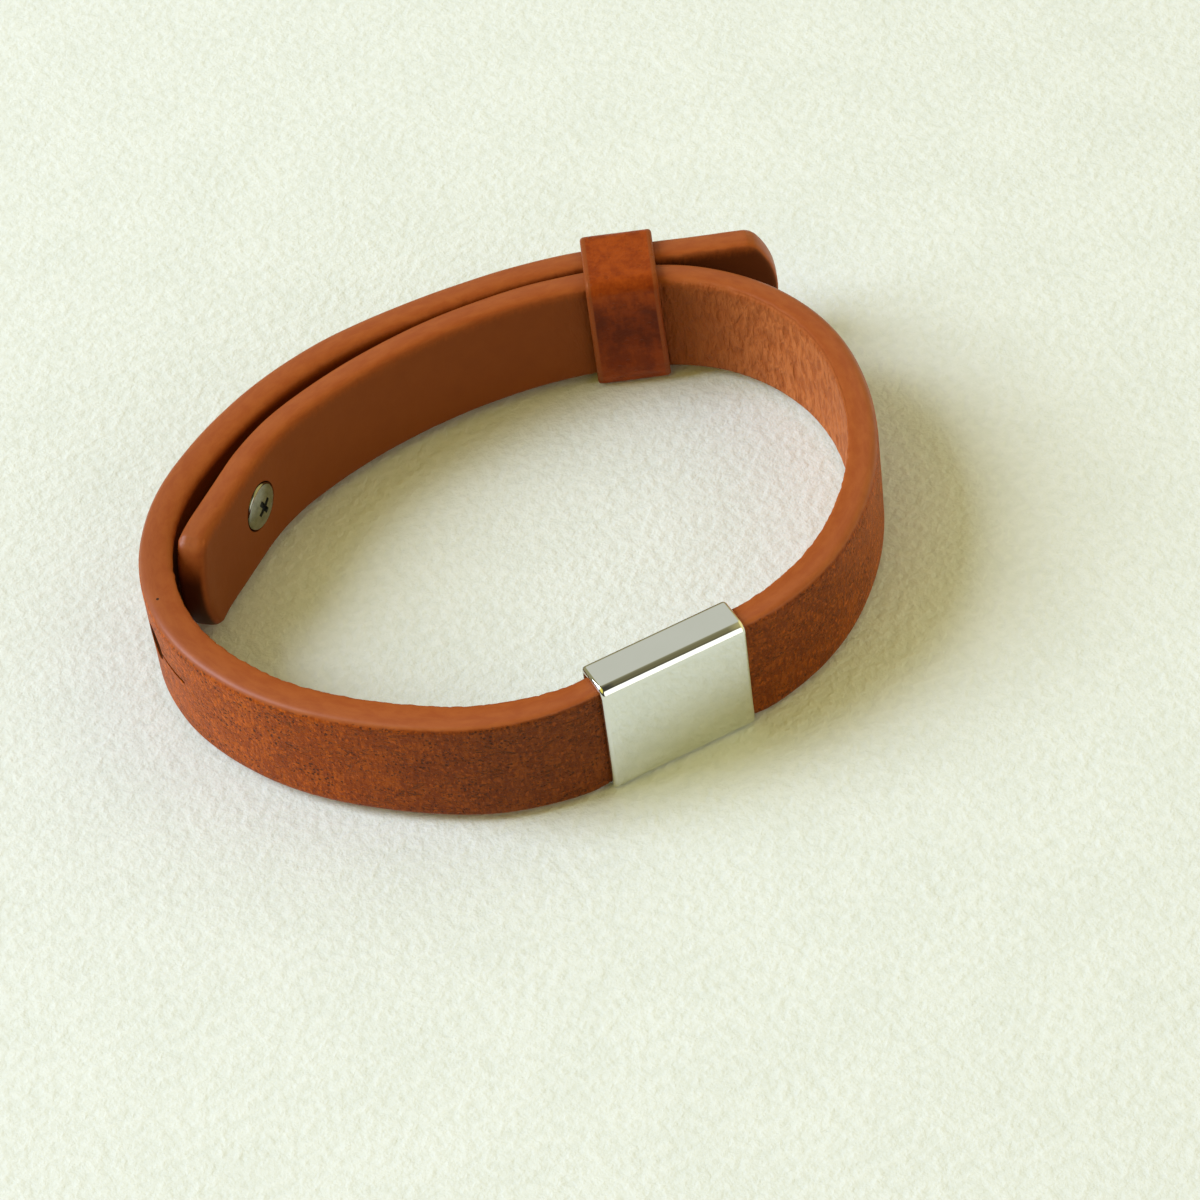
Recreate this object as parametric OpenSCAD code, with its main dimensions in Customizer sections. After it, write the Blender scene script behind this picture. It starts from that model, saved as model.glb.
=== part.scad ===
// Leather strap bracelet, lying on its edge with the wrist axis along Z.
// One flat strap is wound about one and a quarter times round the wrist. It is threaded through a metal
// slide at the front (-Y), its two layers pass through a leather keeper at the back, and a screw stud
// holds the layers together at the left.

/* [Strap] */
// Width of the leather, which stands upright
strap_w = 12; // [11:0.5:13]
// Thickness of the leather
strap_t = 2.8; // [2.4:0.1:2.8]
// Rounding of the strap's four long edges
edge_r = 0.6; // [0.3:0.1:0.9]
// How far the rounded ends reach past their corners
end_reach = 2.2; // [1:0.1:2.4]

/* [Slide] */
// Length of the metal slide along the strap
slide_l = 15; // [12:0.1:15.6]
// Wall of the slide
slide_wall = 0.6; // [0.5:0.1:1]
// Rounding of the slide's four long edges
slide_r = 0.7; // [0.5:0.1:1]

/* [Keeper] */
// Length of the leather keeper along the strap
keeper_l = 6.8; // [5:0.1:7.4]
// Wall of the keeper
keeper_wall = 1; // [1:0.1:1.5]

/* [Stud] */
// Diameter of the screw head, the stud's collar and its cap
head_d = 5; // [4:0.1:5.5]
// How far the screw head is sunk into the leather
head_sink = 0.5; // [0.3:0.1:0.8]
// Thickness of the screw head
head_t = 0.8; // [0.6:0.1:1]
// Diameter of the screw's shank
shank_d = 1.8; // [1.4:0.1:2]
// Diameter of the stud's neck, and the size of the adjusting holes follows it
neck_d = 3; // [2.8:0.1:3.4]
// Thickness of the stud's outer cap at its rim
cap_t = 0.7; // [0.5:0.1:0.8]
// Length of the slit beside each adjusting hole
slit_l = 4.2; // [2:0.1:4.5]

/* [Hidden] */
$fn = 64;

// Clearance between a piece and its neighbour
gap = 0.1;
// The keeper is the lowest piece, so the strap stands this far above the surface
strap_z = keeper_wall + gap;
mid_z = strap_z + strap_w / 2;

// Middle of the slide, from which the strap is measured out both ways
slide_at = [0.64, -26.25];

// The strap from the middle of the slide: round the left to the outer end, and round the right to the
// inner end. Each row is one stretch, and all of them bend the same way round the wrist.
LENGTH = 0;
TURN = 1;
outer_run = [
    // [length in mm, turn in degrees]
    [8.25, 0],
    [12.75, 33],
    [12.75, 16.5],
    [12.75, 25.5],
    [12.75, 36],
    [12.75, 33.5],
    [12.75, 17.5],
    [12.75, 19],
    [12.75, 7.5],
    [12.75, 15],
    [13.7, 0]
];
inner_run = [
    // [length in mm, turn in degrees]
    [7.75, 0],
    [12.5, 33],
    [12.5, 25],
    [12.5, 23],
    [12.5, 35],
    [12.5, 37],
    [12.5, 17.5],
    [12.5, 13],
    [12.5, 13],
    [9.25, 20.5],
    [7, 0],
    [3.25, 11]
];

// Distances along the outer run: the keeper's middle, and the adjusting hole that shows
keeper_s = 123.1;
hole_s = 54.6;
// Heights of that hole and of the screw above the middle of the strap's width
hole_up = 1.1;
screw_up = 0.6;
// Distance along the inner run to the screw
screw_s = 116.75;
// Middle to middle of the two layers at the keeper's ends, and at the screw
keeper_pitch = 3.3;
stud_pitch = 4.7;
// Rounding of the keeper's four long edges, outside
keeper_r = 2;

// Radius of the rounded ends
end_r = (pow(strap_w / 2, 2) + pow(end_reach, 2)) / (2 * end_reach);
// Largest turn between two flat facets of a bend, in degrees
facet_turn = 5;
// Diameter of the adjusting holes, and the width of their slits
hole_d = neck_d + 0.5;
slit_w = 0.4;
// Play between the layers and the stud, because the layers aren't quite parallel there
stud_play = 0.4;
// How far the screw's shank reaches into the stud
shank_reach = 1;
// Cross recess in the screw head
cross_l = 2.2;
cross_w = 0.45;
cross_depth = 0.4;

// A pose is [x, y, heading in degrees]. This one lies further on, at the end of a stretch.
function ahead(pose, row) =
    let (h = pose[2], t = row[TURN], r = t == 0 ? 0 : row[LENGTH] / t * 180 / PI)
    t == 0
        ? [pose[0] + row[LENGTH] * cos(h), pose[1] + row[LENGTH] * sin(h), h]
        : [pose[0] + r * (sin(h + t) - sin(h)), pose[1] - r * (cos(h + t) - cos(h)), h + t];

// Pose at the start of stretch i of a run
function start_of(run, i) = i == 0 ? [0, 0, 0] : ahead(start_of(run, i - 1), run[i - 1]);

// Pose at the distance s along a run
function pose_at(run, s, i = 0) =
    s <= run[i][LENGTH] || i == len(run) - 1
        ? ahead(start_of(run, i), [s, run[i][TURN] * s / run[i][LENGTH]])
        : pose_at(run, s - run[i][LENGTH], i + 1);

// Puts its children at a pose, with X along the strap and Y towards the wrist
module at(pose) {
    translate([pose[0], pose[1], 0]) rotate([0, 0, pose[2]]) children();
}

// The inner run goes to the right of the slide, and the outer run is its mirror image
module inner_side() {
    translate([slide_at[0], slide_at[1], 0]) children();
}
module outer_side() {
    inner_side() mirror([1, 0, 0]) children();
}

module rounded_rectangle(size, r) {
    square([size[0] - 2 * r, size[1]], center = true);
    square([size[0], size[1] - 2 * r], center = true);
    for (x = [-1, 1], y = [-1, 1])
        translate([x * (size[0] / 2 - r), y * (size[1] / 2 - r)]) circle(r);
}

// Extrudes a section, drawn as depth and height, along X
module along_x(length) {
    rotate([90, 0, 90]) linear_extrude(length) children();
}

// Poses along a run, one every few degrees of its bends
function steps_in(row) = max(1, ceil(row[TURN] / facet_turn));
function poses_along(run) = [
    for (i = [0 : len(run) - 1], k = [0 : steps_in(run[i]) - 1])
        ahead(start_of(run, i), run[i] * k / steps_in(run[i]))
];
function end_of(run, extra) = ahead(start_of(run, len(run)), [extra, 0]);

// All poses of the strap from its outer end to its inner end
function strap_poses() =
    let (outer = concat(poses_along(outer_run), [end_of(outer_run, end_reach)]))
    let (inner = concat(poses_along(inner_run), [end_of(inner_run, end_reach)]))
    concat(
        [for (i = [len(outer) - 1 : -1 : 1]) [-outer[i][0], outer[i][1], -outer[i][2]]],
        inner
    );

// The strap's section as [towards the wrist, up], once round its four rounded corners
section = [
    for (corner = [0 : 3], a = [0, 45, 90])
        let (turn = 90 * corner + a)
        let (side = [corner == 0 || corner == 3 ? 1 : -1, corner < 2 ? 1 : -1])
        [
            side[0] * (strap_t / 2 - edge_r) + edge_r * cos(turn),
            side[1] * (strap_w / 2 - edge_r) + edge_r * sin(turn)
        ]
];

// The leather, swept along its poses with square ends
module leather() {
    poses = strap_poses();
    n = len(section);
    points = [for (p = poses, q = section) [p[0] - q[0] * sin(p[2]), p[1] + q[0] * cos(p[2]), q[1]]];
    sides = [
        for (i = [0 : len(poses) - 2], j = [0 : n - 1])
            [i * n + j, (i + 1) * n + j, (i + 1) * n + (j + 1) % n, i * n + (j + 1) % n]
    ];
    first = [for (j = [0 : n - 1]) j];
    last = [for (j = [n - 1 : -1 : 0]) (len(poses) - 1) * n + j];
    translate([0, 0, mid_z]) polyhedron(points, concat([first, last], sides));
}

// What is cut off past the corners of an end to make it round
module end_waste() {
    difference() {
        translate([0, -strap_t / 2 - gap, -strap_w]) cube([end_reach + gap, strap_t + 2 * gap, 2 * strap_w]);
        translate([end_reach - end_r, 0, 0]) rotate([90, 0, 0])
            cylinder(r = end_r, h = 2 * strap_t, center = true);
    }
}

// A hole through the leather with a slit on the side away from the strap's outer end
module adjusting_hole() {
    rotate([90, 0, 0]) cylinder(d = hole_d, h = 2 * strap_t, center = true);
    translate([-hole_d / 2 - slit_l, -strap_t, -slit_w / 2]) cube([hole_d / 2 + slit_l, 2 * strap_t, slit_w]);
}

module strap() {
    color("chocolate") difference() {
        inner_side() leather();
        outer_side() at(end_of(outer_run, 0)) translate([0, 0, mid_z]) end_waste();
        inner_side() at(end_of(inner_run, 0)) translate([0, 0, mid_z]) end_waste();
        outer_side() at(pose_at(outer_run, hole_s)) translate([0, 0, mid_z + hole_up]) adjusting_hole();
        at_screw() {
            rotate([90, 0, 0]) cylinder(d = shank_d + 2 * gap, h = 2 * strap_t, center = true);
            translate([0, strap_t / 2 - head_sink - gap, 0]) rotate([-90, 0, 0])
                cylinder(d = head_d + 4 * gap, h = strap_t);
            translate([0, -stud_pitch, 0]) mirror([1, 0, 0]) adjusting_hole();
        }
    }
}

// The slide reaches down to the surface, and the strap goes through the top of its room
module slide() {
    height = strap_z + strap_w + gap + slide_wall;
    depth = strap_t + 2 * gap + 2 * slide_wall;
    walls = [2 * slide_wall, 2 * slide_wall];
    color("silver") inner_side() translate([-slide_l / 2, 0, height / 2]) along_x(slide_l) difference() {
        rounded_rectangle([depth, height], slide_r);
        rounded_rectangle([depth, height] - walls, edge_r);
    }
}

module keeper() {
    room = [keeper_pitch + strap_t + 2 * gap, strap_w + 2 * gap];
    walls = [2 * keeper_wall, 2 * keeper_wall];
    color("sienna") outer_side() at(pose_at(outer_run, keeper_s))
        translate([-keeper_l / 2, keeper_pitch / 2, mid_z]) along_x(keeper_l) difference() {
            rounded_rectangle(room + walls, keeper_r);
            rounded_rectangle(room, edge_r);
        }
}

// Puts its children at the screw, in the middle of the inner layer, with Y towards the wrist
module at_screw() {
    inner_side() at(pose_at(inner_run, screw_s)) translate([0, 0, mid_z + screw_up]) children();
}

module screw() {
    color("gainsboro") at_screw() rotate([-90, 0, 0]) {
        translate([0, 0, strap_t / 2 - head_sink]) difference() {
            cylinder(d = head_d, h = head_t);
            translate([0, 0, head_t]) for (turn = [0, 90])
                rotate([0, 0, turn]) cube([cross_l, cross_w, 2 * cross_depth], center = true);
        }
        translate([0, 0, -strap_t / 2 - shank_reach])
            cylinder(d = shank_d, h = strap_t + shank_reach - head_sink);
    }
}

module stud() {
    // Room between the layers for the collar, and the neck's length through the outer layer
    collar_t = stud_pitch - strap_t - gap - stud_play;
    neck_l = strap_t + 2 * stud_play;
    color("gainsboro") at_screw() translate([0, -strap_t / 2 - gap, 0]) rotate([90, 0, 0]) difference() {
        union() {
            cylinder(d = head_d, h = collar_t);
            cylinder(d = neck_d, h = collar_t + neck_l + cap_t);
            translate([0, 0, collar_t + neck_l]) cylinder(d = head_d, h = cap_t);
        }
        translate([0, 0, -gap]) cylinder(d = shank_d + 2 * gap, h = shank_reach + 2 * gap);
    }
}

strap();
slide();
keeper();
screw();
stud();
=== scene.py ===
import math

import bmesh
import bpy
import numpy as np
from mathutils import Matrix, Vector, noise


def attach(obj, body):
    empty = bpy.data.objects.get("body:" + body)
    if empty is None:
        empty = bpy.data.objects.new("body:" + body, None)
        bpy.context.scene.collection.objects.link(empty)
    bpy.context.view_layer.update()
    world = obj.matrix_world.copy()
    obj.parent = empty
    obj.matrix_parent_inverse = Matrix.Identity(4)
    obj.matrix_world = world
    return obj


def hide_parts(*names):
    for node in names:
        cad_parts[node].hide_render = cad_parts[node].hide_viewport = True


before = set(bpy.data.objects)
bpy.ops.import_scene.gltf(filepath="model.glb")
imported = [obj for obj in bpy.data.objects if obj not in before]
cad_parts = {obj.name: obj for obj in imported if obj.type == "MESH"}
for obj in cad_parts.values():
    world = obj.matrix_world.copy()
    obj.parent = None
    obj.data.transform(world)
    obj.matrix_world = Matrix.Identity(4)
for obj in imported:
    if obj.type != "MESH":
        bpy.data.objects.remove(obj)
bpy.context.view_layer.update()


# ---- The strap -------------------------------------------------------------------------------------
# One flat blank of full-grain leather, cut with two rounded ends, its edges rounded and painted. It is
# punched with two adjusting holes while flat, then bent round the wrist one and a quarter times.

MM = 0.001
STRAP_WIDTH = 12.0
STRAP_THICKNESS = 2.8
STRAP_LIFT = 1.1
END_REACH = 2.2
SLIDE_PLACE = (0.64, -26.25)

# Stretches from the middle of the slide, as (length in mm, turn in degrees): round the left to the
# outer end, and round the right to the inner end.
OUTER_RUN = [(8.25, 0), (12.75, 33), (12.75, 16.5), (12.75, 25.5), (12.75, 36), (12.75, 33.5),
             (12.75, 17.5), (12.75, 19), (12.75, 7.5), (12.75, 15), (13.4, 0)]
INNER_RUN = [(7.75, 0), (12.5, 33), (12.5, 25), (12.5, 23), (12.5, 35), (12.5, 37), (12.5, 17.5),
             (12.5, 13), (12.5, 13), (9.25, 20.5), (7, 0), (3.25, 11)]

# How round the long edges are, as (distance along, radius on the grain side, radius on the flesh side).
EDGE_ROUND = [(-140, 0.80, 0.50), (-120, 0.80, 0.70), (-100, 0.85, 1.10), (-64, 0.95, 1.20), (-57, 0.90, 0.35),
              (-30, 0.75, 0.25), (-8, 0.55, 0.25), (8, 0.60, 0.25), (20, 0.85, 0.25), (30, 1.10, 0.35),
              (60, 1.10, 0.75), (75, 0.80, 0.75), (100, 0.70, 0.80), (125, 0.70, 1.00)]
END_TAPER = 9.0
ROWS_ALONG, ROWS_THROUGH, ROWS_UP = 979, 7, 29


def walk(run, reach, step=0.05):
    """Distance, x, y and heading at close steps along a run that starts at the slide and bends left."""
    turning = np.concatenate([np.full(round(length / step), math.radians(turn) / length * step)
                              for length, turn in run] + [np.zeros(round(reach / step))])
    heading = np.concatenate([[0.0], np.cumsum(turning)])
    middle = (heading[:-1] + heading[1:]) / 2
    x = np.concatenate([[0.0], np.cumsum(np.cos(middle)) * step])
    y = np.concatenate([[0.0], np.cumsum(np.sin(middle)) * step])
    return np.arange(len(heading)) * step, x, y, heading


def strap_route():
    """The strap's middle line from the outer end (negative distances) to the inner end."""
    far, fx, fy, fh = walk(OUTER_RUN, END_REACH + 1)
    near, nx, ny, nh = walk(INNER_RUN, END_REACH + 1)
    return (np.concatenate([-far[:0:-1], near]), np.concatenate([-fx[:0:-1], nx]) + SLIDE_PLACE[0],
            np.concatenate([fy[:0:-1], ny]) + SLIDE_PLACE[1], np.concatenate([-fh[:0:-1], nh]))


ROUTE = strap_route()
OUTER_END = -sum(length for length, turn in OUTER_RUN)
INNER_END = sum(length for length, turn in INNER_RUN)


def on_route(along):
    """Position and heading of the strap's middle line."""
    return tuple(np.interp(along, ROUTE[0], values) for values in ROUTE[1:])


def bend(point):
    """Carries a point of the flat blank (along, through, up) in mm to its place on the wrist in metres."""
    x, y, heading = on_route(point[0])
    return Vector(((x - point[1] * math.sin(heading)) * MM, (y + point[1] * math.cos(heading)) * MM,
                   (point[2] + STRAP_LIFT + STRAP_WIDTH / 2) * MM))


def seat(along, up=0.0):
    """Frame of a piece that sits on the strap: X along it, Y towards the wrist, Z up."""
    x, y, heading = on_route(along)
    return (Matrix.Translation((x * MM, y * MM, (up + STRAP_LIFT + STRAP_WIDTH / 2) * MM))
            @ Matrix.Rotation(heading, 4, "Z"))


def smooth(low, high, value):
    """Rises smoothly from 0 at low to 1 at high, or falls where low is the larger."""
    t = min(1.0, max(0.0, (value - low) / (high - low)))
    return t * t * (3 - 2 * t)


def object_from(bm, name, material=None):
    """Closes a bmesh into an object with smooth faces that look outward."""
    if bm.calc_volume(signed=True) < 0:
        bmesh.ops.reverse_faces(bm, faces=bm.faces)
    mesh = bpy.data.meshes.new(name)
    for face in bm.faces:
        face.smooth = True
    bm.to_mesh(mesh)
    bm.free()
    piece = bpy.data.objects.new(name, mesh)
    bpy.context.collection.objects.link(piece)
    if material:
        mesh.materials.append(material)
    return piece


def cut(piece, tools, solver="MANIFOLD"):
    """Cuts tool objects out of a piece and takes the tools away."""
    for tool in tools:
        step = piece.modifiers.new("cut", "BOOLEAN")
        step.operation, step.solver, step.object = "DIFFERENCE", solver, tool
    done = bpy.data.meshes.new_from_object(piece.evaluated_get(bpy.context.evaluated_depsgraph_get()))
    piece.modifiers.clear()
    done.materials.clear()
    piece.data = done
    for tool in tools:
        bpy.data.objects.remove(tool)


def flat_blank():
    """The leather blank, flat, with rounded ends and edges."""
    bm = bmesh.new()
    bmesh.ops.create_cube(bm, size=1)
    for axis, cuts in enumerate((ROWS_ALONG, ROWS_THROUGH, ROWS_UP)):
        runs = [e for e in bm.edges if abs(e.verts[0].co[axis] - e.verts[1].co[axis]) > 0.5]
        bmesh.ops.subdivide_edges(bm, edges=runs, cuts=cuts, use_grid_fill=True)
    half_t, half_w = STRAP_THICKNESS / 2, STRAP_WIDTH / 2
    arc = (half_w ** 2 + END_REACH ** 2) / (2 * END_REACH)
    place, grain_side, flesh_side = zip(*EDGE_ROUND)
    for vert in bm.verts:
        a, b, c = vert.co
        # Rows are closer together near the long edges, where the section is round.
        up = math.copysign(half_w * (1 - (1 - 2 * abs(c)) ** 1.25), c)
        through = math.copysign(half_t * (1 - (1 - 2 * abs(b)) ** 1.5), b)
        reach = math.sqrt(arc ** 2 - up ** 2) - arc + END_REACH
        along = OUTER_END + (a + 0.5) * (INNER_END - OUTER_END)
        near_end = min(along - OUTER_END, INNER_END - along)
        spread = math.copysign(reach * smooth(END_TAPER, 0, near_end), a)
        p = Vector((along + spread, through, up))
        r = float(np.interp(along, place, grain_side if through < 0 else flesh_side))
        core = Vector((min(INNER_END + reach - r, max(OUTER_END - reach + r, p.x)),
                       min(half_t - r, max(r - half_t, p.y)), min(half_w - r, max(r - half_w, p.z))))
        vert.co = core + (p - core).normalized() * r
    bmesh.ops.recalc_face_normals(bm, faces=bm.faces)
    return object_from(bm, "strap")


HOLE_ACROSS = 3.5
SLIT_WIDTH = 0.4
SLIT_LENGTH = 4.2
HOLE_ALONG, HOLE_UP = -54.6, 1.1
SCREW_ALONG, SCREW_UP = 116.75, 0.6
STUD_PITCH = 4.7
SEAT_RADIUS = 2.58
SEAT_DEPTH = 0.6
SEAT_CUT = 2.0
SHANK_HOLE_RADIUS = 1.0
THROUGH_CUT = 6.0


def round_punch(along, up, radius, depth, through=0.0):
    """A round punch that goes into the flat blank."""
    bm = bmesh.new()
    bmesh.ops.create_cone(bm, cap_ends=True, segments=64, radius1=radius, radius2=radius, depth=depth,
                          matrix=Matrix.Translation((along, through, up)) @ Matrix.Rotation(math.pi / 2, 4, "X"))
    return object_from(bm, "round punch")


def slit_knife(along, up):
    """The knife that cuts the slit of an adjusting hole."""
    bm = bmesh.new()
    length = SLIT_LENGTH + HOLE_ACROSS / 2
    bmesh.ops.create_cube(bm, size=1, matrix=Matrix.Translation((along + length / 2, 0, up))
                          @ Matrix.Diagonal((length, THROUGH_CUT, SLIT_WIDTH, 1)))
    return object_from(bm, "slit knife")


def stud_hole_along():
    """Where the screw's axis crosses the outer layer."""
    x, y, heading = on_route(SCREW_ALONG)
    aim = (x + STUD_PITCH * math.sin(heading), y - STUD_PITCH * math.cos(heading))
    outer = ROUTE[0] < -40
    return ROUTE[0][outer][np.hypot(ROUTE[1][outer] - aim[0], ROUTE[2][outer] - aim[1]).argmin()]


# How far the flesh side swells at the upper edge, and how far the lower edge hangs down, as (distance
# along, swell in mm, drop in mm). Next to the slide the strap is pressed thinner and wider.
FLESH_LIP = [(-120, 0.0, 0.0), (-100, 0.15, 0.0), (-85, 0.45, 0.0), (-76, 0.62, 0.0), (-62, 0.55, 0.0),
             (-45, 0.35, 0.15), (-25, 0.2, 0.25), (-14, 0.0, 0.45), (-9, -0.35, 0.75), (-7.8, -0.35, 0.6),
             (-7.5, -0.3, 0.4), (7.5, -0.2, 0.4), (7.8, -0.2, 0.6), (9, -0.2, 0.75), (14, 0.0, 0.55),
             (30, 0.1, 0.25), (40, 0.1, 0.1), (60, 0.0, 0.0)]
FOLD_HEIGHT = 0.17
SKIN_UNEVEN = 0.035
ARRIS_HEIGHT = 0.09


def leather_relief(p):
    """How far the leather's skin stands out in mm at a point of the flat blank."""
    along, through, up = p
    inner = smooth(0.7, 1.2, through)
    # The inner side is squeezed where the strap bends hardest, and folds there into short ridges.
    squeezed = smooth(32, 46, along) * smooth(74, 68, along) * smooth(5.9, 4.6, abs(up))
    fold = noise.noise(Vector((along / 0.85 + up * 0.12 + 0.9 * noise.noise(Vector((along / 3, up / 2, 3))),
                               up / 2.3, 0)))
    relief = inner * squeezed * FOLD_HEIGHT * fold
    # The whole skin is a little uneven.
    relief += SKIN_UNEVEN * noise.noise(Vector((along / 4, through / 2, up / 4)))
    return relief


def bend_strap(piece):
    """Bends the punched blank round the wrist and keeps its flat measures for its material."""
    bm = bmesh.new()
    bm.from_mesh(piece.data)
    bmesh.ops.triangulate(bm, faces=[f for f in bm.faces if len(f.verts) > 4])
    flat = bm.verts.layers.float_vector.new("blank")
    bm.normal_update()
    place, swells, drops = zip(*FLESH_LIP)
    moves = []
    for vert in bm.verts:
        p = vert.co.copy()
        vert[flat] = p
        inside_hole = abs(vert.normal.y) < 0.2 and abs(p.z) < 5
        q = p if inside_hole else p + vert.normal * leather_relief(p)
        # Where the strap bends, the flesh side is pushed up into a lip along the upper edge, with a ragged
        # arris left by the knife.
        lip = smooth(3.4, 5.9, p.z) * smooth(0.0, 1.3, p.y)
        ragged = (noise.noise(Vector((p.x / 1.1, 0, 7))) + 0.8 * noise.noise(Vector((p.x / 0.45, 0, 2)))
                  - 1.2 * max(0.0, noise.noise(Vector((p.x / 0.8, 3, 5))) - 0.35))
        swell, drop = np.interp(p.x, place, swells), np.interp(p.x, place, drops)
        q = q + Vector((0, lip * swell, -drop * smooth(0.0, -5.4, p.z)))
        q = q + Vector((0, ARRIS_HEIGHT, 0)) * ragged * lip * smooth(75, 55, p.x)
        moves.append(bend(q))
    for vert, spot in zip(bm.verts, moves):
        vert.co = spot
    bm.to_mesh(piece.data)
    bm.free()
    for face in piece.data.polygons:
        face.use_smooth = True
    piece.data.set_sharp_from_angle(angle=math.radians(50))


def new_material(name):
    """A material with its node tree and its Principled shader."""
    material = bpy.data.materials.new(name)
    material.use_nodes = True
    return material, material.node_tree, material.node_tree.nodes["Principled BSDF"]


class Wiring:
    """Short forms for adding shader nodes to a tree."""

    def __init__(self, tree):
        self.tree = tree

    def add(self, kind, inputs=None, **settings):
        node = self.tree.nodes.new(kind)
        for key, value in settings.items():
            setattr(node, key, value)
        for key, value in (inputs or {}).items():
            self.feed(node.inputs[key], value)
        return node

    def feed(self, socket, value):
        if isinstance(value, bpy.types.NodeSocket):
            self.tree.links.new(value, socket)
        else:
            socket.default_value = value

    def math(self, operation, a, b=0.0, c=0.0):
        node = self.add("ShaderNodeMath", operation=operation)
        for socket, value in zip(node.inputs, (a, b, c)):
            self.feed(socket, value)
        return node.outputs[0]

    def step(self, value, low, high, to_low=0.0, to_high=1.0):
        node = self.add("ShaderNodeMapRange", interpolation_type="SMOOTHSTEP")
        for socket, item in zip(node.inputs, (value, low, high, to_low, to_high)):
            self.feed(socket, item)
        return node.outputs[0]

    def mix(self, factor, a, b, blend="MIX"):
        node = self.add("ShaderNodeMix", data_type="RGBA", blend_type=blend)
        self.feed(node.inputs[0], factor)
        self.feed(node.inputs[6], a)
        self.feed(node.inputs[7], b)
        return node.outputs[2]

    def ramp(self, value, stops):
        node = self.add("ShaderNodeValToRGB", {"Fac": value})
        stripe = node.color_ramp.elements
        for place, colour in stops[1:-1]:
            stripe.new(place)
        for stop, (place, colour) in zip(stripe, stops):
            stop.position, stop.color = place, (*colour, 1)
        return node.outputs[0]

    def noise(self, vector, scale, detail=2.0, roughness=0.5, distortion=0.0):
        node = self.add("ShaderNodeTexNoise", {"Vector": vector, "Scale": scale, "Detail": detail,
                                               "Roughness": roughness, "Distortion": distortion})
        return node.outputs["Fac"]

    def cells(self, vector, scale, feature="F1"):
        node = self.add("ShaderNodeTexVoronoi", {"Vector": vector, "Scale": scale}, feature=feature)
        return node.outputs["Distance"]

    def stretched(self, vector, scale):
        node = self.add("ShaderNodeMapping", {"Vector": vector, "Scale": scale})
        return node.outputs[0]

    def bump(self, height, strength, distance):
        node = self.add("ShaderNodeBump", {"Height": height, "Strength": strength, "Distance": distance})
        return node.outputs[0]


def grain_group():
    """Leather grain in mm: a pebbled height, a mask of open pores and a slow mottle."""
    tree = bpy.data.node_groups.new("leather grain", "ShaderNodeTree")
    tree.interface.new_socket("Place", in_out="INPUT", socket_type="NodeSocketVector")
    tree.interface.new_socket("Pores per mm", in_out="INPUT", socket_type="NodeSocketFloat")
    for name in ("Height", "Pores", "Mottle", "Streaks"):
        tree.interface.new_socket(name, in_out="OUTPUT", socket_type="NodeSocketFloat")
    w = Wiring(tree)
    given = w.add("NodeGroupInput")
    given_out = w.add("NodeGroupOutput")
    place = given.outputs["Place"]
    pebble = w.cells(place, 2.4, "SMOOTH_F1")
    fine = w.noise(place, 5.0, 3.0, 0.6)
    w.feed(given_out.inputs["Height"], w.math("MULTIPLY_ADD", fine, 0.5, w.math("MULTIPLY", pebble, 0.5)))
    # Pores are small dots that crowd together in some places and are missing in others.
    dots = w.cells(place, given.outputs["Pores per mm"])
    crowd = w.noise(w.stretched(place, (0.6, 1.0, 1.4)), 0.45, 3.0)
    size = w.step(crowd, 0.40, 0.62, 0.0, 0.34)
    w.feed(given_out.inputs["Pores"], w.step(w.math("SUBTRACT", dots, size), 0.0, -0.10))
    w.feed(given_out.inputs["Mottle"], w.noise(place, 0.5, 3.0, 0.6, 0.3))
    # Short streaks that run across the strap, finer than the pores.
    w.feed(given_out.inputs["Streaks"], w.noise(w.stretched(place, (2.6, 2.0, 0.8)), 1.0, 4.0, 0.7, 0.5))
    return tree


GRAIN = grain_group()


RAMP_SPAN = 280.0


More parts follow.
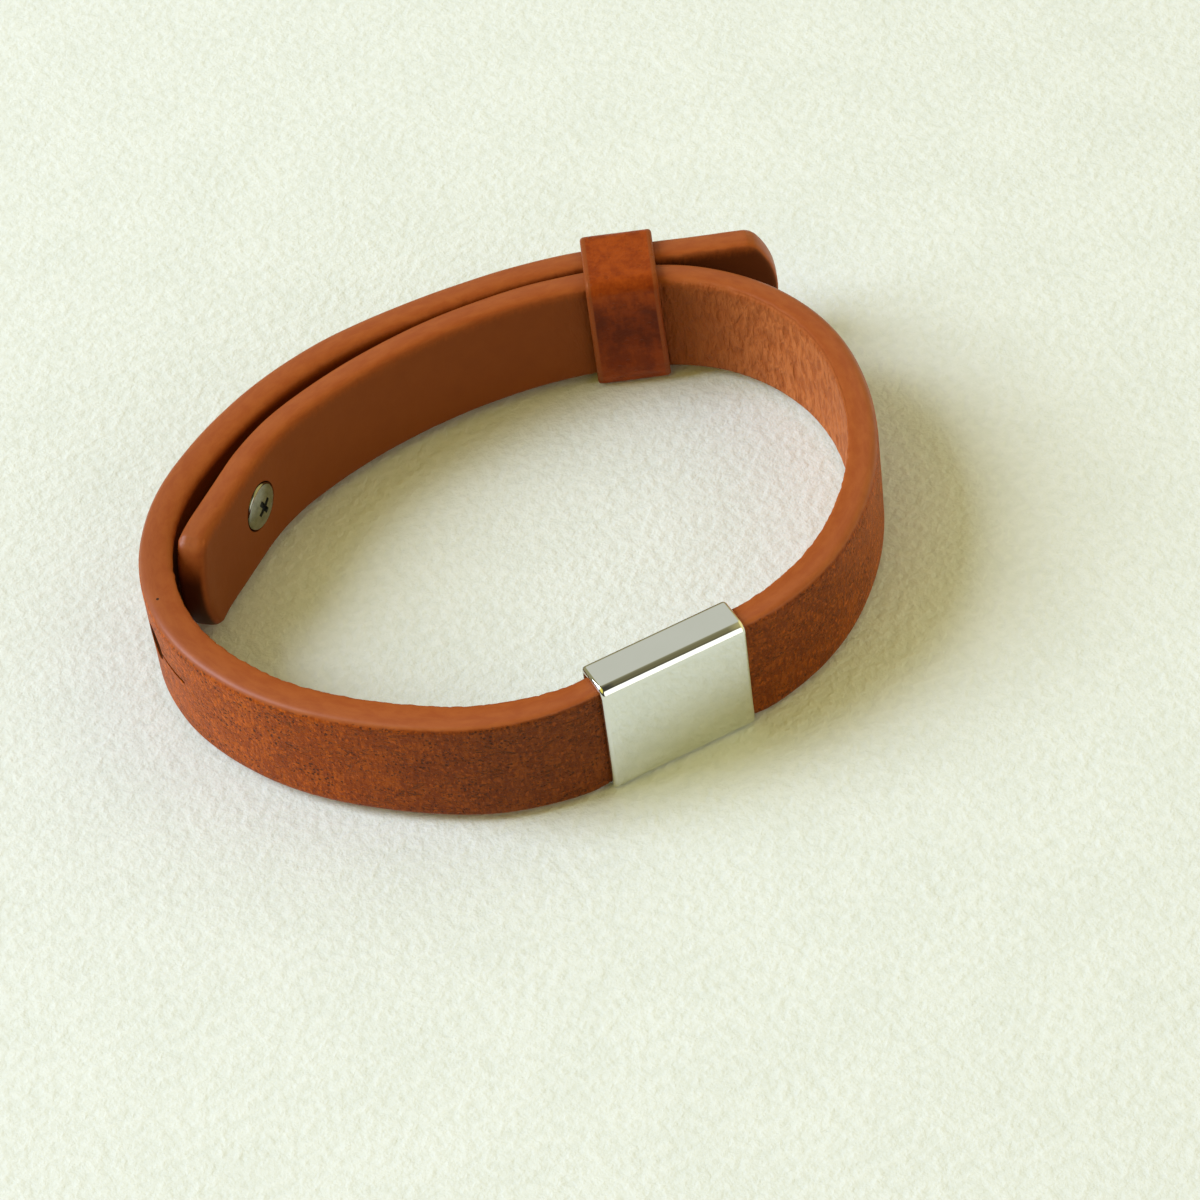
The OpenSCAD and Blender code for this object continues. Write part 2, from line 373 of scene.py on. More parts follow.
def strap_leather():
    """Three finishes told apart by the flat measures: the grain side, the painted edge and the flesh side."""
    material, tree, skin = new_material("strap leather")
    w = Wiring(tree)
    blank = w.add("ShaderNodeAttribute", attribute_name="blank").outputs["Vector"]
    part = w.add("ShaderNodeSeparateXYZ", {"Vector": blank})
    along, through, up = part.outputs
    grain = w.add("ShaderNodeGroup", {"Place": blank, "Pores per mm": 2.2}, node_tree=GRAIN)
    height, pores, mottle, streaks = grain.outputs
    # The grain side and the flesh side are told from the painted edge by how far they are through the strap;
    # the border wanders a little.
    wander = w.math("MULTIPLY_ADD", w.noise(blank, 0.8, 2.0), 0.12, -0.06)
    outer = w.step(w.math("ADD", through, wander), -1.20, -1.38)
    inner = w.step(w.math("ADD", through, wander), 1.12, 1.36)
    share = w.math("MULTIPLY_ADD", along, 1 / RAMP_SPAN, 0.5)

    def tones(stops):
        """Tones along the strap, from stops of (distance along, tone)."""
        return w.ramp(share, [(place / RAMP_SPAN + 0.5, tone if isinstance(tone, tuple) else (tone, tone, tone))
                              for place, tone in stops])

    # Grain side: orange-brown, finely streaked and flecked, with dark open pores and broken creases.
    brown = w.mix(w.step(streaks, 0.40, 0.60), (0.200, 0.034, 0.003, 1), (0.330, 0.068, 0.006, 1))
    brown = w.mix(w.step(mottle, 0.38, 0.66, 0.0, 0.5), brown, (0.175, 0.028, 0.003, 1))
    flecks = w.step(w.noise(w.stretched(blank, (3.4, 3.0, 1.9)), 1.0, 2.0, 0.5), 0.57, 0.67)
    flecks = w.math("MULTIPLY", flecks, w.step(along, -2.0, 12.0, 0.6, 0.8))
    flecks = w.math("MULTIPLY", flecks, w.step(along, -85.0, -70.0, 0.6, 1.0))
    brown = w.mix(flecks, brown, (0.470, 0.094, 0.008, 1))
    # Painted light and shade along the grain side: lighter at the left and at the right, where the light falls on it,
    # and darker next to the slide, where it faces away from the light.
    painted_light_and_shade = tones([(-100, (0.98, 0.95, 0.90)), (-82, (1.08, 1.04, 0.95)), (-70, (1.46, 1.46, 1.04)),
                 (-45, (1.45, 1.46, 1.0)), (-32, (1.12, 1.08, 0.85)), (-17, (0.64, 0.68, 0.86)),
                 (-8, (0.58, 0.62, 0.80)), (17, (0.76, 0.76, 0.68)), (29, (1.25, 1.3, 1.3)),
                 (45, (1.3, 1.35, 1.35))])
    brown = w.mix(1.0, brown, painted_light_and_shade, "MULTIPLY")
    cracked = w.noise(w.stretched(blank, (0.22, 1.0, 1.0)), 1.0, 3.0, 0.7, 0.6)
    creases = w.math("MULTIPLY", w.step(w.math("ABSOLUTE", w.math("SUBTRACT", cracked, 0.5)), 0.021, 0.0),
                     w.step(w.noise(blank, 0.2, 2.0), 0.40, 0.54))
    creases = w.math("MULTIPLY", creases, w.step(streaks, 0.44, 0.54))
    specks = w.step(w.noise(w.stretched(blank, (3.6, 3.0, 3.0)), 1.0, 2.0, 0.6), 0.385, 0.325)
    dark = w.math("MAXIMUM", pores, w.math("MAXIMUM", creases, w.math("MULTIPLY", specks, 0.9)))
    dark = w.math("MULTIPLY", dark, tones([(-85, 0.65), (-70, 1.0), (-2, 1.0), (8, 0.8), (28, 0.8), (45, 0.5)]))
    brown = w.mix(w.math("MULTIPLY", dark, 0.8), brown, (0.040, 0.009, 0.003, 1))

    # Edge: painted light tan and slightly rubbed. Flesh side: smooth and a little darker, ridged where the strap
    # bends hardest at the right, and rubbed light along its upper edge. On the ridged part it is warmer and lighter,
    # partly the squeezed leather's own tone and partly painted light and sheen.
    rubbing = w.noise(w.stretched(blank, (0.5, 1.4, 1.4)), 1.0, 4.0, 0.65, 0.3)
    tan = w.mix(w.step(rubbing, 0.30, 0.70), (0.296, 0.064, 0.012, 1), (0.342, 0.085, 0.017, 1))
    flesh = w.mix(w.noise(blank, 0.35, 4.0, 0.65), (0.180, 0.042, 0.008, 1), (0.222, 0.056, 0.010, 1))
    # Near the outer end the flesh side, which faces in between the two layers, is darker: painted shade.
    flesh = w.mix(w.step(along, -112.0, -120.0), flesh, (0.100, 0.024, 0.006, 1))
    squeezed = w.math("MULTIPLY", w.step(along, 30.0, 42.0), w.step(along, 82.0, 70.0))
    ridge = w.noise(w.stretched(blank, (1.9, 1.0, 0.75)), 1.0, 2.0, 0.5, 0.35)
    warm_and_painted_light = w.mix(w.step(ridge, 0.36, 0.64), (0.375, 0.098, 0.022, 1), (0.500, 0.152, 0.040, 1))
    # The warm tone gives way to the plain, darker flesh side next to the keeper: painted shade of the keeper.
    flesh = w.mix(w.math("MULTIPLY", w.step(along, 70.0, 51.0), w.step(along, -4.0, 20.0)), flesh, warm_and_painted_light)
    rubbed = w.step(w.math("MULTIPLY_ADD", streaks, 1.6, up), 5.4, 6.6)
    flesh = w.mix(w.math("MULTIPLY", rubbed, 0.6), flesh, tan)
    # The tan of the edge is darkened at the left and at the inner end, and very slightly between them: painted shade.
    tan = w.mix(1.0, tan, tones([(-135, 0.98), (-80, 0.98), (-60, 0.84), (-40, 0.96), (-24, 1.0), (20, 1.0),
                                 (60, 0.97), (118, 0.97), (128, 0.82)]), "MULTIPLY")
    # One dark nick in the upper edge at the left.
    nick = w.add("ShaderNodeVectorMath", {0: blank, 1: (-55.0, -0.25, 6.0)}, operation="DISTANCE").outputs["Value"]
    tan = w.mix(w.step(nick, 0.17, 0.11), tan, (0.020, 0.006, 0.003, 1))
    colour = w.mix(inner, w.mix(outer, tan, brown), flesh)

    # Inside the punched holes the leather is bare and dark. On the end that lies against the wrist, below its upper
    # corner, the same dark colour is painted shade for the shadow that the outer layer casts on it.
    clear_of_edges = w.step(w.math("ABSOLUTE", up), 5.2, 4.8)
    bare_and_shaded = w.math("MULTIPLY", clear_of_edges, w.step(w.math("ABSOLUTE", through), 1.36, 1.28))
    bare_and_shaded = w.math("MULTIPLY", bare_and_shaded, w.step(along, OUTER_END + 3.0, OUTER_END + 4.0))
    painted_end_shadow = w.math("MULTIPLY", w.step(through, 1.15, 0.7), w.step(up, 4.4, 1.6))
    bare_and_shaded = w.math("MULTIPLY", bare_and_shaded, w.math("MAXIMUM", w.step(along, 121.0, 120.0), painted_end_shadow))
    w.feed(skin.inputs["Base Color"], w.mix(w.math("MULTIPLY", bare_and_shaded, 0.85), colour, (0.028, 0.007, 0.003, 1)))

    rough = w.math("MULTIPLY_ADD", streaks, 0.14, 0.42)
    w.feed(skin.inputs["Roughness"], w.math("ADD", rough, w.math("MULTIPLY", inner, 0.12)))
    skin.inputs["Specular IOR Level"].default_value = 0.18
    skin.inputs["Specular Tint"].default_value = (1.0, 0.60, 0.32, 1.0)
    painted = w.math("MULTIPLY", w.step(through, 1.5, -0.9), w.math("SUBTRACT", 1.0, outer))
    w.feed(skin.inputs["Coat Weight"], w.math("MULTIPLY", painted, w.math("MULTIPLY_ADD", bare_and_shaded, -0.45, 0.45)))
    skin.inputs["Coat Roughness"].default_value = 0.42
    relief = w.math("MULTIPLY", height, w.math("MULTIPLY_ADD", outer, 0.9, 0.12))
    relief = w.math("SUBTRACT", relief, w.math("MULTIPLY", w.math("MULTIPLY", dark, outer), 0.9))
    ridges = w.math("MULTIPLY_ADD", squeezed, 3.0, 0.1)
    relief = w.math("MULTIPLY_ADD", w.math("MULTIPLY", inner, ridge), ridges, relief)
    w.feed(skin.inputs["Normal"], w.bump(relief, 0.7, 0.00016))
    return material


strap = flat_blank()
for hole_along, hole_up in ((HOLE_ALONG, HOLE_UP), (stud_hole_along(), SCREW_UP)):
    cut(strap, [round_punch(hole_along, hole_up, HOLE_ACROSS / 2, THROUGH_CUT), slit_knife(hole_along, hole_up)])
# The seat that the screw's head is pressed into, and the hole of its shank.
seat_middle = STRAP_THICKNESS / 2 - SEAT_DEPTH + SEAT_CUT / 2
cut(strap, [round_punch(SCREW_ALONG, SCREW_UP, SEAT_RADIUS, SEAT_CUT, seat_middle),
            round_punch(SCREW_ALONG, SCREW_UP, SHANK_HOLE_RADIUS, THROUGH_CUT)])
bend_strap(strap)
strap.data.materials.append(strap_leather())
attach(strap, "root")
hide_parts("strap")


# ---- The slide -------------------------------------------------------------------------------------
# A flat sleeve of polished plated metal, closed all round, which the strap is threaded through. Its long
# front edges are rounded more than its back ones, and the rims of its mouths are rounded over and buffed.

SLIDE_LENGTH = 15.0
SLIDE_DEPTH = 4.2
SLIDE_HEIGHT = 13.8
SLIDE_WALL = 0.6
SLIDE_FRONT_ROUND = 1.15
SLIDE_BACK_ROUND = 0.66
SLIDE_RIM_ROUND = 0.42
SLIDE_INSIDE_ROUND = 0.12
ROLLED_END = 1.6


def rim_edges(bm, length):
    """The edges between the walls of a sleeve and the flat rims of its mouths."""
    return [e for e in bm.edges if abs(e.verts[0].co.x - e.verts[1].co.x) < 1e-6
            and abs(abs(e.verts[0].co.x) - length / 2) < 1e-6
            and any(abs(f.normal.x) > 0.5 for f in e.link_faces) and any(abs(f.normal.x) < 0.5 for f in e.link_faces)]


def polished_sleeve():
    """An open box with rounded long edges, given its wall, with its rims rounded."""
    bm = bmesh.new()
    bmesh.ops.create_cube(bm, size=1)
    bmesh.ops.scale(bm, vec=(SLIDE_LENGTH, SLIDE_DEPTH, SLIDE_HEIGHT), verts=bm.verts)
    bmesh.ops.delete(bm, geom=[f for f in bm.faces if abs(f.normal.x) > 0.5], context="FACES_ONLY")
    long_edges = [e for e in bm.edges if abs(e.verts[0].co.x - e.verts[1].co.x) > 1]
    for front, rounding, steps in ((True, SLIDE_FRONT_ROUND, 12), (False, SLIDE_BACK_ROUND, 6)):
        chosen = [e for e in long_edges if e.is_valid and (e.verts[0].co.y < 0) == front]
        bmesh.ops.bevel(bm, geom=chosen, offset=rounding, offset_type="OFFSET", segments=steps, profile=0.5,
                        affect="EDGES", material=-1)
    bmesh.ops.recalc_face_normals(bm, faces=bm.faces)
    bmesh.ops.solidify(bm, geom=bm.faces, thickness=SLIDE_WALL)
    rims = rim_edges(bm, SLIDE_LENGTH)
    half = (SLIDE_DEPTH / 2 - SLIDE_WALL / 2, SLIDE_HEIGHT / 2 - SLIDE_WALL / 2)
    for outside, rounding, steps in ((True, SLIDE_RIM_ROUND, 8), (False, SLIDE_INSIDE_ROUND, 3)):
        chosen = [e for e in rims if e.is_valid and outside == any(abs(v.co[k + 1]) > half[k]
                                                                   for v in e.verts for k in (0, 1))]
        bmesh.ops.bevel(bm, geom=chosen, offset=rounding, offset_type="OFFSET", segments=steps, profile=0.5,
                        affect="EDGES", material=-1)
    # A row of points near each mouth keeps the shading of the rounded rim off the long flat faces.
    for end in (-1, 1):
        bmesh.ops.bisect_plane(bm, geom=bm.verts[:] + bm.edges[:] + bm.faces[:], plane_no=(1, 0, 0),
                               plane_co=(end * (SLIDE_LENGTH / 2 - ROLLED_END), 0, 0))
    bmesh.ops.recalc_face_normals(bm, faces=bm.faces)
    bmesh.ops.transform(bm, verts=bm.verts, matrix=Matrix.Translation(
        (SLIDE_PLACE[0] * MM, SLIDE_PLACE[1] * MM, SLIDE_HEIGHT / 2 * MM)) @ Matrix.Scale(MM, 4))
    return object_from(bm, "slide")


def polished_metal():
    """Mirror-bright plating with faint smears and hairlines from buffing."""
    material, tree, metal = new_material("polished metal")
    w = Wiring(tree)
    place = w.stretched(w.add("ShaderNodeTexCoord").outputs["Object"], (1000, 1000, 1000))
    smear = w.noise(place, 0.22, 4.0, 0.6)
    hairlines = w.noise(w.stretched(place, (0.5, 6.0, 6.0)), 3.0, 2.0)
    w.feed(metal.inputs["Base Color"], w.mix(smear, (0.715, 0.725, 0.675, 1), (0.770, 0.780, 0.735, 1)))
    metal.inputs["Metallic"].default_value = 1.0
    w.feed(metal.inputs["Roughness"], w.math("MULTIPLY_ADD", w.step(smear, 0.4, 0.75), 0.03, 0.012))
    w.feed(metal.inputs["Normal"], w.bump(w.math("ADD", hairlines, w.math("MULTIPLY", smear, 2.0)), 0.02, 0.00003))
    return material


slide = polished_sleeve()
slide.data.materials.append(polished_metal())
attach(slide, "root")
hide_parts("slide")


# ---- The keeper ------------------------------------------------------------------------------------
# A short closed loop of thinner, darker leather, pulled over both layers. Its rims are cut raw and
# burnished, so they are lighter than the middle of its face.

KEEPER_ALONG = -123.2
KEEPER_LENGTH = 7.1
KEEPER_WALL = 1.0
KEEPER_PITCH = 3.3
KEEPER_ROOM = 0.2
KEEPER_DEPTH = KEEPER_PITCH + STRAP_THICKNESS + KEEPER_ROOM + 2 * KEEPER_WALL
KEEPER_HEIGHT = STRAP_WIDTH + KEEPER_ROOM + 2 * KEEPER_WALL
KEEPER_TOP_ROUND = 1.4
KEEPER_UNDER_ROUND = 2.0
KEEPER_RIM_ROUND = 0.38
KEEPER_TUCK = 0.35
KEEPER_ASKEW = 0.13


def leather_loop():
    """A rounded sleeve with its wall, uneven outside and a little askew on the strap."""
    bm = bmesh.new()
    bmesh.ops.create_cube(bm, size=1)
    bmesh.ops.scale(bm, vec=(KEEPER_LENGTH, KEEPER_DEPTH, KEEPER_HEIGHT), verts=bm.verts)
    bmesh.ops.delete(bm, geom=[f for f in bm.faces if abs(f.normal.x) > 0.5], context="FACES_ONLY")
    long_edges = [e for e in bm.edges if abs(e.verts[0].co.x - e.verts[1].co.x) > 1]
    for top, rounding in ((True, KEEPER_TOP_ROUND), (False, KEEPER_UNDER_ROUND)):
        chosen = [e for e in long_edges if e.is_valid and (e.verts[0].co.z > 0) == top]
        bmesh.ops.bevel(bm, geom=chosen, offset=rounding, offset_type="OFFSET", segments=10, profile=0.5,
                        affect="EDGES", material=-1)
    for axis, cuts in ((1, 15), (2, 37)):
        runs = [e for e in bm.edges if abs(e.verts[0].co[axis] - e.verts[1].co[axis]) > 2.5]
        bmesh.ops.subdivide_edges(bm, edges=runs, cuts=cuts, use_grid_fill=True)
    bmesh.ops.recalc_face_normals(bm, faces=bm.faces)
    bmesh.ops.solidify(bm, geom=bm.faces, thickness=KEEPER_WALL)
    bmesh.ops.bevel(bm, geom=rim_edges(bm, KEEPER_LENGTH), offset=KEEPER_RIM_ROUND, offset_type="OFFSET",
                    segments=5, profile=0.5, affect="EDGES", material=-1)
    bmesh.ops.subdivide_edges(bm, edges=[e for e in bm.edges if abs(e.verts[0].co.x - e.verts[1].co.x) > 3],
                              cuts=23, use_grid_fill=True)
    bmesh.ops.recalc_face_normals(bm, faces=bm.faces)
    local = bm.verts.layers.float_vector.new("blank")
    bm.normal_update()
    place = seat(KEEPER_ALONG) @ Matrix.Translation((0, KEEPER_PITCH / 2 * MM, 0)) @ Matrix.Scale(MM, 4)
    moves = []
    for vert in bm.verts:
        p = vert.co.copy()
        vert[local] = p
        outside = smooth(0.3, 0.9, max(abs(p.y) - KEEPER_DEPTH / 2, abs(p.z) - KEEPER_HEIGHT / 2) + KEEPER_WALL)
        uneven = outside * (0.05 * noise.noise(p / 2.2) + 0.02 * noise.noise(p / 0.6))
        # The face follows the strap's lower edge and turns under, away from the wrist.
        tucked = KEEPER_TUCK * smooth(-3.6, -6.4, p.z) * smooth(1.5, 3.0, p.y) * outside
        # It sits a little askew, its lower end nearer to the strap's end.
        askew = KEEPER_ASKEW * smooth(5, -6, p.z) * smooth(0, 3, p.y)
        moves.append(place @ (p + vert.normal * uneven - Vector((askew * (1 - p.x / 5), tucked, 0))))
    for vert, spot in zip(bm.verts, moves):
        # Its underside rests flat on the surface.
        vert.co = (spot.x, spot.y, max(spot.z, 0.0))
    return object_from(bm, "keeper")


def keeper_leather():
    """Darker, redder leather with a mottled face and lighter rims."""
    material, tree, skin = new_material("keeper leather")
    w = Wiring(tree)
    blank = w.add("ShaderNodeAttribute", attribute_name="blank").outputs["Vector"]
    grain = w.add("ShaderNodeGroup", {"Place": blank, "Pores per mm": 1.2}, node_tree=GRAIN)
    height, pores, mottle, streaks = grain.outputs
    along, through, up = w.add("ShaderNodeSeparateXYZ", {"Vector": blank}).outputs
    rim = w.step(w.math("ABSOLUTE", along), KEEPER_LENGTH / 2 - 0.58, KEEPER_LENGTH / 2 - 0.42)
    # Lighter orange at the top and the bottom, painted light where the light falls on the rounded top and where the
    # lower bend catches the floor's light. Darker and redder in the middle of the face: a dark patina with painted
    # shade.
    blotch = w.math("ADD", w.math("MULTIPLY", mottle, 0.7), w.math("MULTIPLY", streaks, 0.3))
    middle = w.math("MULTIPLY", w.step(w.math("MULTIPLY_ADD", blotch, 3.4, up), 8.2, 3.6),
                    w.step(w.math("MULTIPLY_ADD", blotch, -1.6, up), -4.5, -0.8, 0.45, 1.0))
    middle = w.math("MULTIPLY", middle, w.step(up, -5.3, -4.8))
    face = w.mix(w.step(blotch, 0.38, 0.62), (0.205, 0.029, 0.003, 1), (0.310, 0.053, 0.005, 1))
    face = w.mix(w.math("MULTIPLY", middle, 0.9), face, w.mix(w.step(blotch, 0.42, 0.6), (0.080, 0.009, 0.001, 1),
                                                              (0.145, 0.019, 0.002, 1)))
    face = w.mix(w.math("MULTIPLY", pores, 0.15), face, (0.060, 0.011, 0.003, 1))
    w.feed(skin.inputs["Base Color"], w.mix(rim, face, (0.245, 0.056, 0.012, 1)))
    w.feed(skin.inputs["Roughness"], w.math("MULTIPLY_ADD", mottle, 0.2, 0.30))
    skin.inputs["Specular IOR Level"].default_value = 0.20
    skin.inputs["Specular Tint"].default_value = (1.0, 0.55, 0.25, 1.0)
    w.feed(skin.inputs["Normal"], w.bump(w.math("SUBTRACT", height, w.math("MULTIPLY", pores, 0.5)), 0.5, 0.00012))
    return material


keeper = leather_loop()
keeper.data.materials.append(keeper_leather())
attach(keeper, "root")
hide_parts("keeper")


# ---- The screw and the stud ------------------------------------------------------------------------
# Turned and nickel-plated. The screw's low domed head with a cross recess sits in the inner layer, and
# its shank goes into the stud, whose neck and cap hold the outer layer in its adjusting hole.

HEAD_RADIUS = 2.45
HEAD_THICKNESS = 0.90
DOME_RISE = 0.22
HEAD_EDGE = 0.36
HEAD_SINK = 0.45
SHANK_RADIUS = 0.9
SHANK_REACH = 1.0
CROSS_LENGTH = 2.0
CROSS_WIDTH = 0.55
CROSS_DEPTH = 0.45
CROSS_TURN = 25
NECK_RADIUS = 1.5
STUD_PLAY = 0.4
CAP_RIM = 0.45
CAP_RISE = 0.25
CAP_EDGE = 0.22
CORNER = 0.15
GAP = 0.1


def turned(outline, name):
    """Turns an outline of (radius, height) in mm about the local Y axis, which points at the wrist."""
    bm = bmesh.new()
    corners = [bm.verts.new((radius, height, 0)) for radius, height in outline]
    edges = [bm.edges.new(pair) for pair in zip(corners, corners[1:])]
    bmesh.ops.spin(bm, geom=corners + edges, cent=(0, 0, 0), axis=(0, 1, 0), angle=2 * math.pi, steps=72,
                   use_merge=True)
    bmesh.ops.remove_doubles(bm, verts=bm.verts, dist=1e-5)
    bmesh.ops.recalc_face_normals(bm, faces=bm.faces)
    return object_from(bm, name)


def domed(radius, rim, rise, edge, steps=8):
    """Outline of a domed face from its rounded rim in to the middle."""
    round_edge = [(radius - edge + edge * math.cos(a), rim - edge + edge * math.sin(a))
                  for a in (math.radians(90) * k / 4 for k in range(5))]
    dome = [((radius - edge) * (1 - k / steps), rim + rise * (1 - (1 - k / steps) ** 2))
            for k in range(1, steps + 1)]
    return round_edge + dome


def cross_punch():
    """The punch of the cross recess."""
    bm = bmesh.new()
    tip, side = CROSS_LENGTH / 2, CROSS_WIDTH / 2
    corners = []
    for turn in range(4):
        facing = Matrix.Rotation(math.radians(CROSS_TURN + 90 * turn), 3, "Y")
        corners += [facing @ Vector(spot) for spot in ((tip, 0, side), (tip, 0, -side), (side, 0, -side))]
    low, high = ([bm.verts.new(spot + Vector((0, top_of_head + reach, 0))) for spot in corners]
                 for reach in (-CROSS_DEPTH, CROSS_DEPTH))
    bm.faces.new(low)
    bm.faces.new(high)
    for k in range(len(corners)):
        bm.faces.new((low[k - 1], low[k], high[k], high[k - 1]))
    bmesh.ops.recalc_face_normals(bm, faces=bm.faces)
    return object_from(bm, "cross punch")


def put_in_place(piece, place):
    """Keeps the turned shape's own measures for its material, then sets it on the strap."""
    measures = piece.data.attributes.new("blank", "FLOAT_VECTOR", "POINT")
    measures.data.foreach_set("vector", [value for vert in piece.data.vertices for value in vert.co])
    piece.data.transform(place @ Matrix.Scale(MM, 4))
    piece.data.set_sharp_from_angle(angle=math.radians(40))


def plated_metal():
    """Dulled nickel plating, with painted shade in the cross recess."""
    material, tree, metal = new_material("plated metal")
    w = Wiring(tree)
    blank = w.add("ShaderNodeAttribute", attribute_name="blank").outputs["Vector"]
    across, out, up = w.add("ShaderNodeSeparateXYZ", {"Vector": blank}).outputs
    from_axis = w.add("ShaderNodeVectorMath", {0: w.stretched(blank, (1, 0, 1))}, operation="LENGTH").outputs["Value"]
    patina = w.noise(blank, 1.3, 4.0, 0.65)
    plated = w.mix(w.step(patina, 0.3, 0.7), (0.22, 0.22, 0.17, 1), (0.32, 0.315, 0.255, 1))
    # The recess is all that lies below the dome, near the axis and above the underside of the head.
    fall = -DOME_RISE / (HEAD_RADIUS - HEAD_EDGE) ** 2
    dome = w.math("MULTIPLY_ADD", w.math("POWER", from_axis, 2.0), fall, top_of_head)
    recess = w.math("MULTIPLY", w.step(w.math("SUBTRACT", dome, out), 0.02, 0.08), w.step(from_axis, 1.35, 1.25))
    recess = w.math("MULTIPLY", recess, w.step(out, head_under, head_under + 0.2))
    # The cross recess is painted near black and matt: painted shade.
    w.feed(metal.inputs["Base Color"], w.mix(recess, plated, (0.012, 0.014, 0.011, 1)))
    w.feed(metal.inputs["Metallic"], w.math("SUBTRACT", 1.0, recess))
    rough = w.math("MULTIPLY_ADD", patina, 0.08, 0.11)
    w.feed(metal.inputs["Roughness"], w.math("MULTIPLY_ADD", recess, 0.7, rough))
    w.feed(metal.inputs["Normal"], w.bump(w.noise(blank, 6.0, 3.0), 0.10, 0.00004))
    return material


screw_seat = seat(SCREW_ALONG, SCREW_UP)
head_under = STRAP_THICKNESS / 2 - HEAD_SINK
top_of_head = head_under + HEAD_THICKNESS
shank_end = -STRAP_THICKNESS / 2 - SHANK_REACH
PLATED = plated_metal()

screw = turned([(0, shank_end), (SHANK_RADIUS - CORNER, shank_end), (SHANK_RADIUS, shank_end + CORNER),
                (SHANK_RADIUS, head_under), (HEAD_RADIUS, head_under)]
               + domed(HEAD_RADIUS, top_of_head - DOME_RISE, DOME_RISE, HEAD_EDGE), "screw")
cut(screw, [cross_punch()], "EXACT")
put_in_place(screw, screw_seat)
screw.data.materials.append(PLATED)
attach(screw, "root")
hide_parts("screw")

collar_top = -STRAP_THICKNESS / 2 - GAP
collar_under = collar_top - (STUD_PITCH - STRAP_THICKNESS - GAP - STUD_PLAY)
cap_top = collar_under - (STRAP_THICKNESS + 2 * STUD_PLAY)
cap_face = [(radius, 2 * cap_top - height)
            for radius, height in domed(HEAD_RADIUS, cap_top + CAP_RIM, CAP_RISE, CAP_EDGE)]
stud = turned([(0, collar_top - SHANK_REACH - GAP), (SHANK_RADIUS + GAP, collar_top - SHANK_REACH - GAP),
               (SHANK_RADIUS + GAP, collar_top), (HEAD_RADIUS - CORNER, collar_top),
               (HEAD_RADIUS, collar_top - CORNER), (HEAD_RADIUS, collar_under + CORNER),
               (HEAD_RADIUS - CORNER, collar_under), (NECK_RADIUS, collar_under), (NECK_RADIUS, cap_top),
               (HEAD_RADIUS, cap_top)] + cap_face, "stud")
put_in_place(stud, screw_seat)
stud.data.materials.append(PLATED)
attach(stud, "root")
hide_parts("stud")


# ---- The setting -----------------------------------------------------------------------------------
# A plain pale plastered surface, a large soft window light from the back left, a dim room with a few
# brighter patches, and the camera of the photograph. None of it is part of the bracelet.

def plaster():
    """Matt, pale and slightly grainy."""
    material, tree, surface = new_material("pale plaster")
    w = Wiring(tree)
    place = w.stretched(w.add("ShaderNodeTexCoord").outputs["Object"], (1000, 1000, 1000))
    grains = w.noise(place, 0.95, 3.0, 0.55)
    patches = w.noise(place, 0.12, 3.0, 0.5)
    shade = w.math("ADD", w.math("MULTIPLY", grains, 0.7), w.math("MULTIPLY", patches, 0.3))
    w.feed(surface.inputs["Base Color"], w.mix(w.step(shade, 0.35, 0.65), (0.682, 0.706, 0.640, 1),
                                               (0.737, 0.757, 0.696, 1)))
    surface.inputs["Roughness"].default_value = 0.75
    surface.inputs["Specular IOR Level"].default_value = 0.15
    w.feed(surface.inputs["Normal"], w.bump(grains, 0.5, 0.0005))
    return material


bm = bmesh.new()
bmesh.ops.create_grid(bm, x_segments=1, y_segments=1, size=2.0)
floor = object_from(bm, "floor", plaster())


def soft_light(name, place, size, power, colour):
    """A rectangular lamp that faces the bracelet."""
    lamp = bpy.data.lights.new(name, "AREA")
    lamp.shape, lamp.size, lamp.size_y, lamp.energy, lamp.color = "RECTANGLE", size[0], size[1], power, colour
    stand = bpy.data.objects.new(name, lamp)
    stand.location = place
    stand.rotation_euler = (-Vector(place)).to_track_quat("-Z", "Y").to_euler()
    bpy.context.collection.objects.link(stand)


soft_light("window", (-1.357, 0.691, 1.27), (0.96, 1.38), 55.6, (0.692, 0.776, 1.0))

world = bpy.data.worlds.new("room")
bpy.context.scene.world = world
world.use_nodes = True
w = Wiring(world.node_tree)
sight = w.add("ShaderNodeTexCoord").outputs["Generated"]


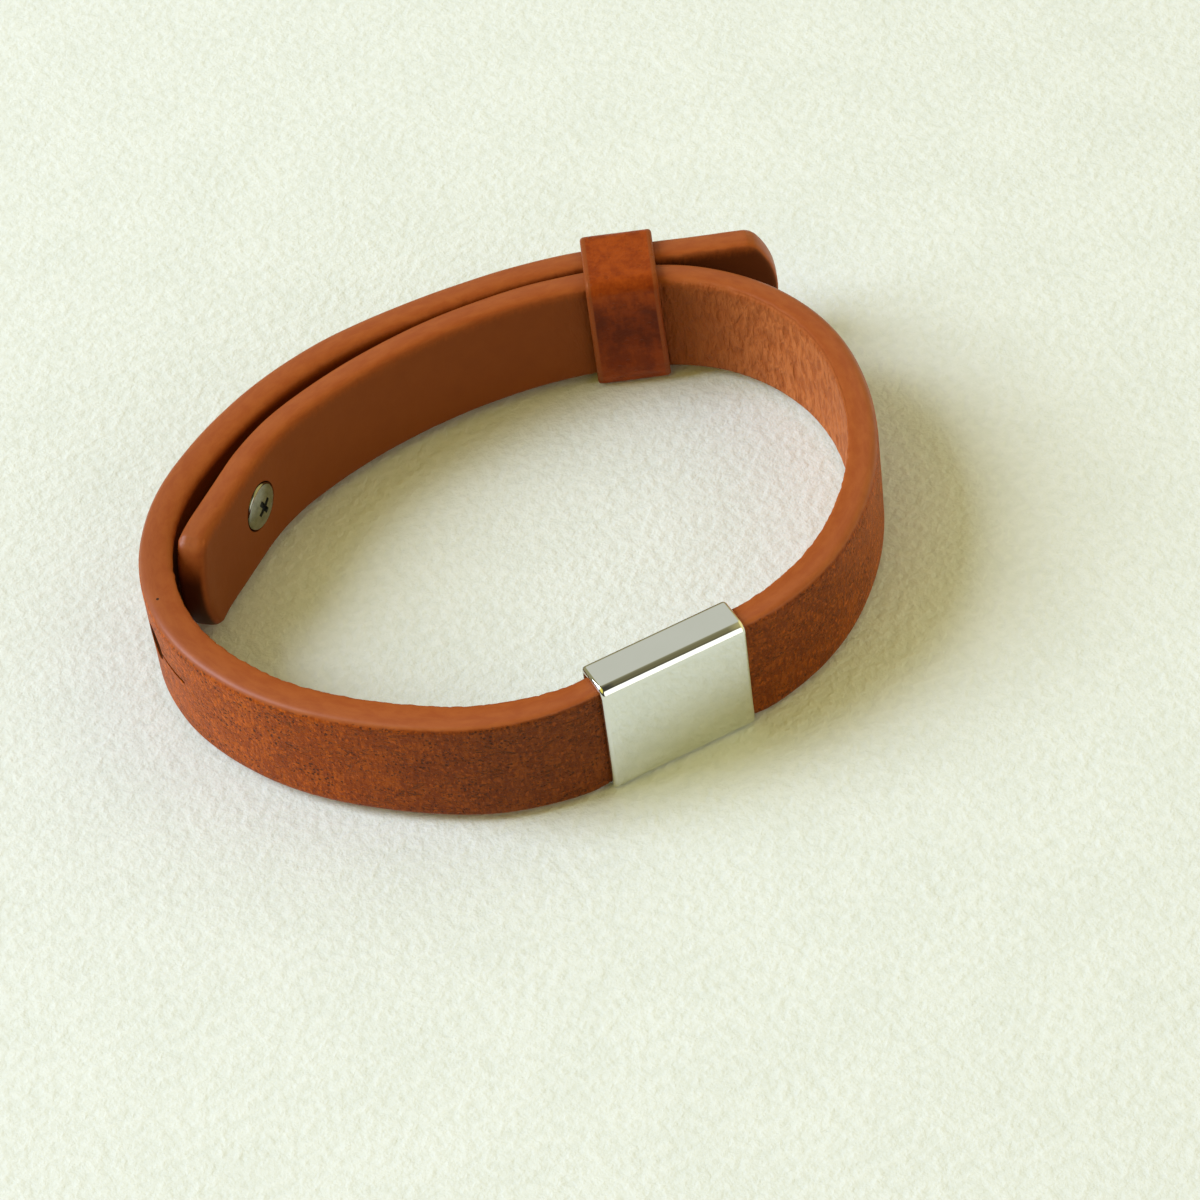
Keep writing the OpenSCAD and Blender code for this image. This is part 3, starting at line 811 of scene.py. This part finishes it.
def facing(direction):
    """1 straight towards a direction, falling to -1 straight away from it."""
    return w.add("ShaderNodeVectorMath", {0: sight, 1: direction}, operation="DOT_PRODUCT").outputs["Value"]


# The room is dim and darkest in front. Each patch is (direction, where it begins, where it is full, colour).
FRONT = (-0.375, -0.927, 0.0)
PATCHES = [((-0.56, -0.24, 0.79), 0.80, 0.94, (1.04, 0.90, 0.18, 1)),
           ((0.90, -0.14, 0.41), 0.58, 0.92, (1.08, 0.96, 0.42, 1)),
           ((0.256, 0.632, 0.731), 0.86, 0.95, (0.67, 0.68, 0.615, 1)),
           ((0.26, -0.91, 0.32), 0.90, 0.93, (1.60, 1.60, 1.52, 1))]
room = w.mix(w.step(facing(FRONT), -0.60, 0.0), (0.36, 0.34, 0.18, 1), (0.29, 0.27, 0.18, 1))
room = w.mix(w.step(facing(FRONT), -0.38, 0.15), room, (0.060, 0.057, 0.045, 1))
for direction, begins, full, colour in PATCHES:
    room = w.mix(w.step(facing(direction), begins, full), room, colour)
w.feed(world.node_tree.nodes["Background"].inputs["Color"], room)
world.node_tree.nodes["Background"].inputs["Strength"].default_value = 1.0

CAMERA_AIM = (0.00299, -0.00725, 0.0011)
CAMERA_DISTANCE = 0.450
CAMERA_TILT = 47.083
CAMERA_TURN = -22.5
CAMERA_ROLL = -8.042
CAMERA_LENS = 141.9
CAMERA_SENSOR = 36.0

tilt, turn = math.radians(CAMERA_TILT), math.radians(CAMERA_TURN)
away = Vector((math.cos(tilt) * math.sin(turn), -math.cos(tilt) * math.cos(turn), math.sin(tilt)))
lens = bpy.data.cameras.new("camera")
lens.lens, lens.sensor_width, lens.sensor_fit = CAMERA_LENS, CAMERA_SENSOR, "AUTO"
lens.clip_start = 0.01
camera = bpy.data.objects.new("camera", lens)
camera.matrix_world = (Matrix.Translation(Vector(CAMERA_AIM) + away * CAMERA_DISTANCE)
                       @ (-away).to_track_quat("-Z", "Y").to_matrix().to_4x4()
                       @ Matrix.Rotation(math.radians(CAMERA_ROLL), 4, "Z"))
bpy.context.collection.objects.link(camera)
bpy.context.scene.camera = camera
bpy.context.scene.view_settings.view_transform = "Standard"
